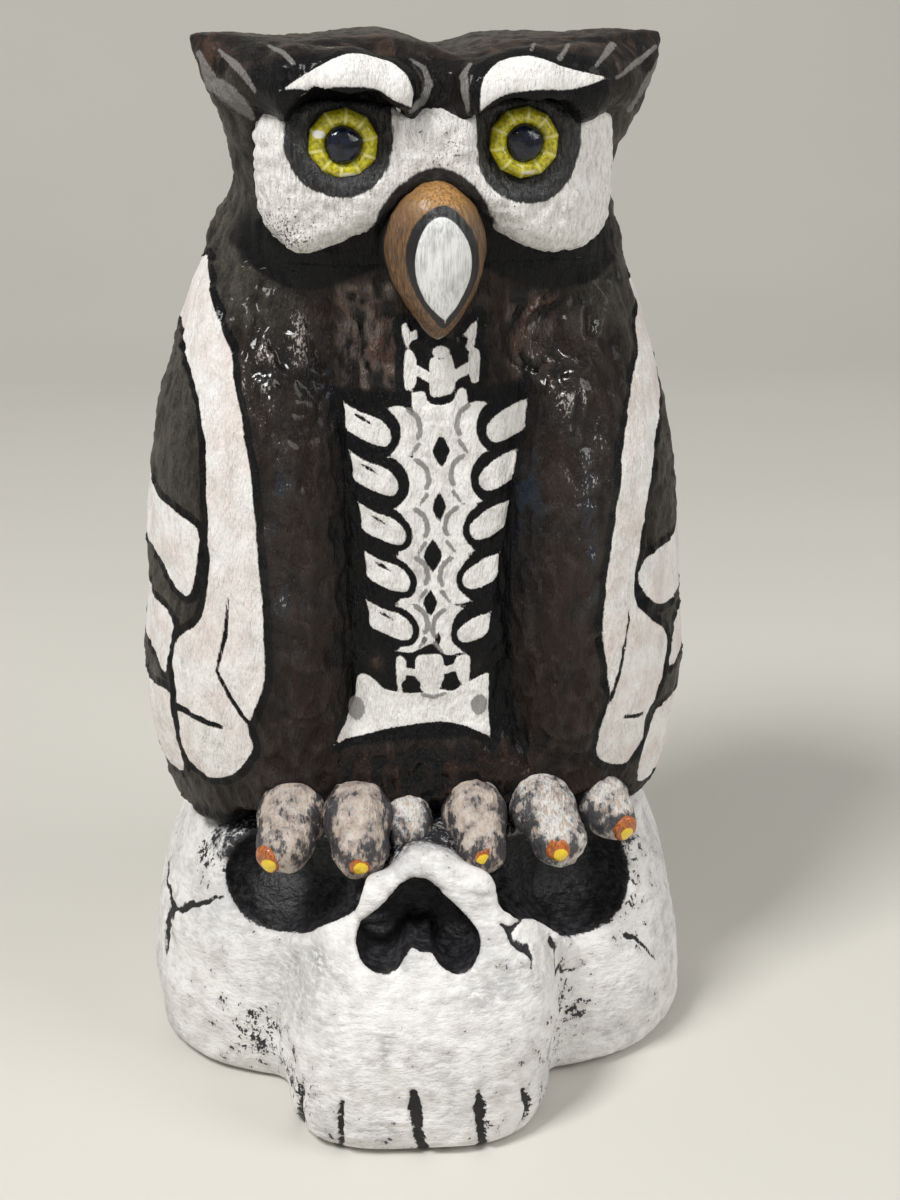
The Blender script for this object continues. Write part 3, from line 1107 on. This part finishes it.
def addOwl():
    def bodyField(x, y, z):
        skin = owlSkin(x, y, z)
        return keepBoth(tuck(skin, wingCover(x, y, z)), z - neckZ - 0.7, 0.3)

    def onBreast(x, y, z):  # negative in front, between the grooves
        return np.maximum(np.abs(x) - torso["groove"](z) - 3, y + 22)

    def breastField(x, y, z):
        return keepBoth(bodyField(x, y, z), onBreast(x, y, z), 0.3)

    def trunkField(x, y, z):
        skin = bodyField(x, y, z)
        return skin + 0.5 * ease(-0.5 - onBreast(x, y, z))  # drops behind the breast piece

    def wingField(side):
        def field(x, y, z):
            skin = owlSkin(x, y, z)
            form = lap(skin, wingCover(x, y, z))
            form = keepBoth(form, -(skin + torso["wingThick"]), 1)
            return keepBoth(form, -side * x, 0.5)
        return field

    def headField(x, y, z):
        skin = tuck(owlSkin(x, y, z), z - neckZ)
        return keepBoth(tuck(skin, browForm(x, y, z)), neckZ - 5 - z, 0.5)

    def browField(side):
        def field(x, y, z):
            return keepBoth(lap(owlSkin(x, y, z), browForm(x, y, z)), 2 - side * x, 0.5)
        return field

    owlPiece("owlTrunk", trunkField, (-82, -60, seatZ - 2), (82, 54, neckZ + 3), "body", ["owl_body"],
             1.35)
    owlPiece("owlBreast", breastField, (-44, -60, seatZ - 2), (44, -18, neckZ + 3), "body", ["owl_body"],
             0.76)
    owlPiece("wingLeft", wingField(1), (8, -60, seatZ - 2), (82, 54, neckZ), "wing", ["wing_left"],
             1.05)
    owlPiece("wingRight", wingField(-1), (-82, -60, seatZ - 2), (-8, 54, neckZ), "wing", ["wing_right"],
             1.05)
    owlPiece("owlHead", headField, (-66, -60, neckZ - 8), (66, 50, 286), "body", ["head"],
             1.0)
    owlPiece("browTuftLeft", browField(1), (0, -62, 235), (66, -10, 286), "body", ["brow_tuft_left"],
             0.65)
    owlPiece("browTuftRight", browField(-1), (-66, -62, 235), (0, -10, 286), "body", ["brow_tuft_right"],
             0.65)


def addFace():
    points, quads = sculpt(discForm, (-54, -62, 226), (56, -5, 272), 0.7)
    x, y, z = points.T
    hollow = np.maximum(spot(x, np.minimum(z, 258.5), -23.3, 258.2, 12.9, 12.6),
            spot(x, np.minimum(z, 257.5), 23.1, 257.2, 13.4, 13.8))
    speckle = clouds(x, z, (1, -37, 236, 9, 8), (0.5, 12, 240, 8, 6), (0.5, 2, 255, 8, 9))
    rim = -0.8 - inside(x, z, discShape["outline"])
    edge = np.maximum.reduce([rim, y - discShape["rear"] + 3, inside(x, z, beakShape["outline"]) + 3.2])
    marks = {"hollow": np.maximum(hollow, -4), "speckle": speckle, "edge": edge}
    rough = 0.6 * np.abs(grain(points, (1.7, 1.7, 3.6), 31)) + 0.4 * grain(points, 2.4, 32)
    rough = rough + 0.5 * grain(points, 9, 33)
    points = points + normalsOf(points, quads) * rough[:, None]
    meshPiece("facialDisc", points, quads, owlPlace, materials["disc"], ["facial_disc"],
              marks)
    points, quads = sculpt(beakForm, (-16, -66, 205), (16, -34, 254), 0.6)
    x, y, z = points.T
    marks = {mark: inside(x, z, beakShape[mark]) for mark in ("ring", "drop")}
    marks["rim"] = np.maximum(-0.5 - inside(x, z, beakShape["outline"]), y + 49)
    marks["warm"] = cloud(x, z, 1, 246, 9, 5)
    rough = 0.22 * grain(points, (1.2, 1.2, 8), 36) + 0.25 * grain(points, 6, 37)
    rough = rough + 0.25 * ease((marks["drop"] + 0.3) / 0.6)
    points = points + normalsOf(points, quads) * rough[:, None]
    meshPiece("beakShield", points, quads, owlPlace, materials["beak"], ["beak"], marks)


toOwl = owlPlace.inverted()


def onCircle(middle, out, turn, depth):
    return (middle.x + out * math.cos(turn), depth, middle.z + out * math.sin(turn))


def addEyes():
    for side, look in eyes.items():
        low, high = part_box("eye_iris_" + side)
        middle = toOwl @ ((low + high) / 2)
        tall = (high.z - low.z) / (2 * mm)  # outer radius
        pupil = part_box("eye_pupil_" + side)
        inner = (pupil[1].z - pupil[0].z) / (2 * mm)
        front = (toOwl @ Vector(((low.x + high.x) / 2, low.y, (low.z + high.z) / 2))).y
        back = (toOwl @ Vector(((low.x + high.x) / 2, high.y, (low.z + high.z) / 2))).y
        facets, steps = 10, 12
        points, faces = [], []
        rings = [(tall * 0.97, back), (tall, front + 1.6), (tall * 0.98, front + 0.6),
                 (tall * 0.9, front - 0.1), (mixed(inner, tall, 0.62), front - 0.7),
                 (mixed(inner, tall, 0.3), front - 0.5), (inner * 0.98, front + 0.3),
                 (inner * 0.9, front + 1.6)]
        count = facets * steps
        for radius, depth in rings:
            for k in range(count):
                turn = 2 * math.pi * (k + 4) / count
                part = (k % steps) / steps * 2 - 1
                flat = math.cos(math.pi / facets) / math.cos(math.pi / facets * part)
                bend = mixed(1, flat, 0.9 if radius > inner * 1.1 else 0.4)
                points.append(onCircle(middle, radius * bend, turn, depth + 0.22 * abs(part)))
        for r in range(len(rings) - 1):
            for k in range(count):
                a, b = r * count + k, r * count + (k + 1) % count
                faces.append((a, a + count, b + count, b))
        faces.append(tuple(range(count)))
        faces.append(tuple(reversed(range(len(points) - count, len(points)))))
        x, y, z = np.array(points).T
        turn = np.degrees(np.arctan2(z - middle.z, x - middle.x)) - 12
        far = np.hypot(x - middle.x, z - middle.z)
        seam = 0.34 - np.abs((turn + 18) % 36 - 18) * np.pi / 180 * far
        glare = np.maximum(spot(x, z, middle.x - 5.9, middle.z + 2.6, 1.7, 1.1) - look["calm"],
                0.6 * spot(x, z, middle.x + 1, middle.z - 7, 2.2, 0.5))
        marks = {"seam": seam, "glare": glare}
        meshPiece("iris" + side.title(), np.array(points), faces, owlPlace, materials["iris"],
                  ["eye_iris_" + side], marks)
        points, faces = [(middle.x, front - 2.1, middle.z)], []
        bands, segments = 7, 32
        for b in range(1, bands + 1):
            lean = b / bands * math.pi / 2
            for k in range(segments):
                turn = 2 * math.pi * k / segments
                wobble = 1 + 0.03 * math.sin(3 * turn + 1) + 0.02 * math.sin(5 * turn)
                depth = front + 0.9 - 3 * math.cos(lean) + 0.12 * math.sin(2 * turn) * math.sin(2 * lean)
                points.append(onCircle(middle, inner * math.sin(lean) * wobble, turn, depth))
        for k in range(segments):
            turn = 2 * math.pi * k / segments
            points.append(onCircle(middle, inner * 0.94, turn, front + 2.2))
        for k in range(segments):
            faces.append((0, 1 + k, 1 + (k + 1) % segments))
            for b in range(bands):
                a, c = 1 + b * segments + k, 1 + b * segments + (k + 1) % segments
                faces.append((a, a + segments, c + segments, c))
        faces.append(tuple(reversed(range(len(points) - segments, len(points)))))
        meshPiece("pupil" + side.title(), np.array(points), faces, owlPlace, materials["pupil"],
                  ["eye_pupil_" + side])


def addFeet():
    clawTips = {}
    for node in toeShape:
        claw = node.replace("toe", "claw")
        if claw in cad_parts:
            low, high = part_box(claw)
            clawTips[node] = toOwl @ ((low + high) / 2)
    for node, stations in toeShape.items():
        centre = np.array(stations)[:, :3]
        low, high = centre.min(0) - 12, centre.max(0) + 12
        points, quads = sculpt(lambda x, y, z: rodChain(x, y, z, stations, 3), low, high, 0.7)
        x, y, z = points.T
        tip = stations[-1]
        start = stations[0]
        gone = np.clip((y - start[1]) / (tip[1] - start[1]), 0, 1)
        aside = np.abs(x - mixed(start[0], tip[0], gone)) / start[3]
        bare = 0.9 * cloud(x, z, tip[0], tip[2] + 1, 7, 4) + 0.75 * ease((aside - 0.5) / 0.5)
        bare = bare + 0.7 * ease((y + 40) / 8)
        chalk = 1.0 if node in ("toe_right_inner", "toe_left_middle", "toe_left_outer") else 0.35
        marks = {"bare": np.clip(bare, 0, 1), "chalk": np.full(len(x), chalk)}
        rough = 0.35 * grain(points, (1.6, 1.6, 3.5), 41) + 0.5 * grain(points, 5, 42)
        points = points + normalsOf(points, quads) * rough[:, None]
        name = "toe" + node.title().replace("Toe", "").replace("_", "")
        meshPiece(name, points, quads, owlPlace, materials["toe"], [node], marks)
        if node not in clawTips:
            continue
        at = clawTips[node] - Vector((2, 0, 2.6)) * (node == "toe_left_outer")

        def clawField(x, y, z):
            cap = egg(x, y, z, (at.x, at.y, at.z + 0.4), (3.9, 4.2, 4.1))
            return keepBoth(rodChain(x, y, z, stations, 3) - 1, cap, 1)

        points, quads = sculpt(clawField, np.array(at) - 8, np.array(at) + 8, 0.5)
        x, y, z = points.T
        points = points + normalsOf(points, quads) * (0.2 * grain(points, 1.6, 45))[:, None]
        marks = {"dab": spot(x, z, at.x, at.z - 0.6, 1.9, 2.1)}
        meshPiece(name.replace("toe", "claw"), points, quads, owlPlace, materials["claw"],
                  [node.replace("toe", "claw")], marks)


def addTail():
    low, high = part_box("tail")
    a, b = toOwl @ low, toOwl @ high
    middle, wide = (a.x + b.x) / 2, abs(b.x - a.x) / 2

    def tailField(x, y, z):
        share = np.clip((z - a.z) / (b.z - a.z), 0, 1)
        half = wide * (1 - 0.45 * share**1.4) - 1
        deep = y - mixed(b.y - 1.5, a.y + 6, share**0.8)
        feather = (x - middle) / wide * np.pi * 2.5  # five feathers across
        scallop = 1.3 * np.abs(np.sin(feather)) * (1 - 0.5 * share)
        form = keepBoth(np.abs(x - middle) - half, deep + 1.5 - scallop, 5)
        form = keepBoth(form, a.y + 1 - y, 1)
        hem = a.z + 0.6 + 2.2 * np.abs(np.sin(feather + 1.57))
        return keepBoth(keepBoth(form, z - b.z + 1, 3), hem - z, 2)

    owlPiece("tailFan", tailField, (a.x - 2, a.y - 2, a.z - 2), (b.x + 2, b.y + 4, b.z + 2), "wing",
             ["tail"], 0.9, tailField)


def addSkull():
    def back(x, y, z):
        return tuck(keepBoth(skullSkin(x, y, z), -(y - skull["seam"] + 13), 0.3), y - skull["seam"])

    def jaw(x, y, z):
        return lap(skullSkin(x, y, z), y - skull["seam"])

    halves = [("skullCranium", back, (-84, -62, -1), (84, 90, 76), "skull_cranium", 1.12),
              ("skullUpperJaw", jaw, (-74, -90, -1), (74, -44, 80), "skull_upper_jaw", 0.8)]
    for name, field, low, high, node, fine in halves:
        points, quads = sculpt(field, low, high, fine)
        marks = skullMarks(points)
        lift = skullRelief(points, marks) * ease((points[:, 2] - 0.6) / 4)
        points = points + outward(skullSkin, points) * lift[:, None]
        points[:, 2] = np.maximum(points[:, 2], 0)
        meshPiece(name, points, quads, skullPlace, materials["skull"], [node], marks)
        print(name, len(quads))


stage = {  # metres, and degrees for where the camera looks
    "camera": (-0.0262, -0.4903, 0.300),
    "heading": 4.2,
    "down": 19.4,
    "lens": 54.5,
    "room": 0.36,  # strength of the light from all round
    "lights": [("key", (-0.66, -0.62, 1.38), 0.4, 20), ("fill", (1.1, -0.6, 1.0), 0.7, 8)],
}


def addStage():
    bend = [(0.9 + 0.7 * math.sin(t), 0.7 - 0.7 * math.cos(t)) for t in np.linspace(0.1, math.pi / 2, 14)]
    profile = [(-2.2, 0), (0.9, 0)] + bend + [(1.6, 3)]  # floor, bend and wall
    points = [(x, y, z) for y, z in profile for x in (-3.5, 3.5)]
    quads = [(2 * k, 2 * k + 1, 2 * k + 3, 2 * k + 2) for k in range(len(profile) - 1)]
    floor = placed("sweep", smoothMesh("sweep", points, quads))
    floor.data.materials.append(materials["floor"])
    camera = placed("camera", bpy.data.cameras.new("camera"))
    camera.location = stage["camera"]
    heading = math.radians(stage["heading"])
    down = math.radians(stage["down"])
    level = math.cos(down)
    look = Vector((math.sin(heading) * level, math.cos(heading) * level, -math.sin(down)))
    camera.rotation_euler = look.to_track_quat("-Z", "Y").to_euler()
    camera.data.sensor_width = 36
    camera.data.lens = stage["lens"]
    camera.data.clip_start = 0.01
    bpy.context.scene.camera = camera
    world = bpy.data.worlds.new("room")
    world.use_nodes = True
    world.node_tree.nodes["Background"].inputs["Color"].default_value = (1, 1, 0.99, 1)
    world.node_tree.nodes["Background"].inputs["Strength"].default_value = stage["room"]
    bpy.context.scene.world = world
    bpy.context.scene.view_settings.view_transform = "Standard"
    for name, place, size, power in stage["lights"]:
        light = placed(name, bpy.data.lights.new(name, "AREA"))
        light.data.size = size
        light.data.energy = power
        light.location = place
        light.rotation_euler = (Vector((0, 0, 0.15)) - Vector(place)).to_track_quat("-Z", "Y").to_euler()


addStage()
addSkull()
addOwl()
addTail()
addFace()
addEyes()
addFeet()
for node in ("neck_dowel", "perch_dowel_left", "perch_dowel_right"):
    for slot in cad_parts[node].material_slots:
        slot.material = materials["wood"]
print("sculpted")
